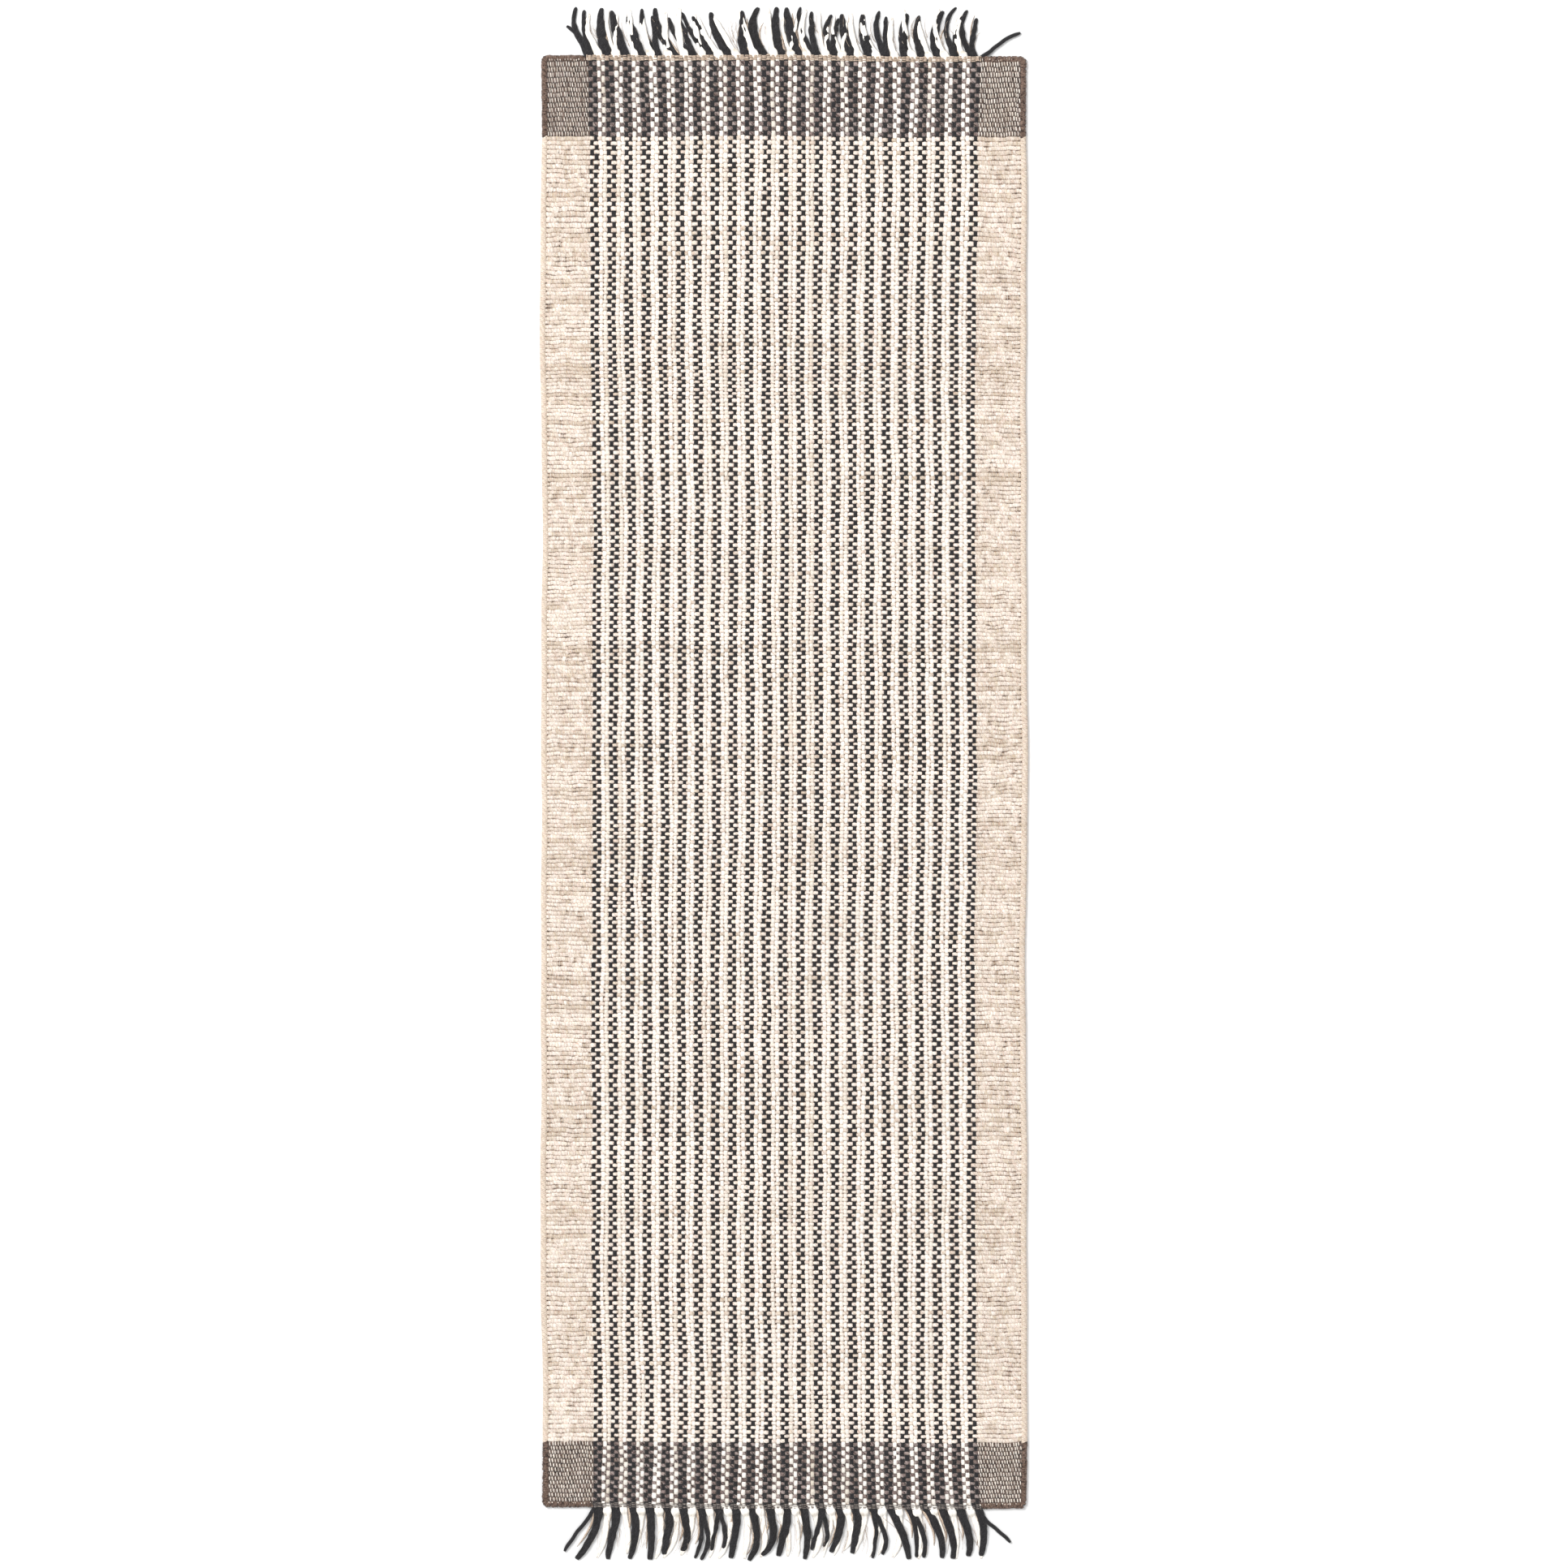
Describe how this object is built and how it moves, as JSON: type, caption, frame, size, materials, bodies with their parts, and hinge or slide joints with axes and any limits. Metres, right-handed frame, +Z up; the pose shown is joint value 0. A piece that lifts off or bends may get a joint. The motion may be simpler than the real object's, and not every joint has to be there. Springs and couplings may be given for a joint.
{
  "type": "runner rug",
  "caption": "Hand-woven runner rug with a striped plain-weave centre, ribbed beige side borders, dark corner blocks with overcast edges, and two-tone fringe at both ends.",
  "frame": {"origin": "middle of the rug's footprint, on the floor that it lies on", "axes": "+X across the rug, +Y along it from the foot end to the head end, +Z up out of the face"},
  "size_m": [0.762, 2.4378, 0.008],
  "materials": {
    "striped_weave": "dark and ivory warps crossed by beige weft, matt wool and jute",
    "beige_weave": "slubby beige weft ribs over fine white cotton warps, matt",
    "taupe_weave": "taupe marl weft, matt wool",
    "beige_binding": "overcast beige yarn, matt",
    "brown_binding": "overcast dark brown yarn, matt",
    "beige_header": "twined beige thread, matt",
    "grey_header": "twined grey-brown marl thread, matt",
    "dark_yarn": "charcoal wool yarn, matt",
    "ivory_yarn": "ivory wool yarn, matt"
  },
  "bodies": {
    "head_half": {"centre_panel_head": "striped_weave", "left_border_head": "beige_weave", "left_selvedge_head": "beige_binding", "head_left_corner_block": "taupe_weave", "head_left_corner_binding": "brown_binding", "right_border_head": "beige_weave", "right_selvedge_head": "beige_binding", "head_right_corner_block": "taupe_weave", "head_right_corner_binding": "brown_binding", "head_end_band": "taupe_weave", "head_header": "beige_header", "head_dark_tassels": "dark_yarn", "head_ivory_tassels": "ivory_yarn", "head_corner_strands": "dark_yarn"},
    "foot_half": {"centre_panel_foot": "striped_weave", "left_border_foot": "beige_weave", "left_selvedge_foot": "beige_binding", "foot_left_corner_block": "taupe_weave", "foot_left_corner_binding": "brown_binding", "right_border_foot": "beige_weave", "right_selvedge_foot": "beige_binding", "foot_right_corner_block": "taupe_weave", "foot_right_corner_binding": "brown_binding", "foot_end_band": "taupe_weave", "foot_header": "grey_header", "foot_dark_tassels": "dark_yarn", "foot_ivory_tassels": "ivory_yarn", "foot_corner_strands": "dark_yarn"}
  },
  "joints": [
    {"name": "half_fold", "type": "hinge", "parent": "head_half", "child": "foot_half", "pos_m": [0, 0, 0.0083], "axis": [-1, 0, 0], "range_deg": [0, 180]}
  ]
}
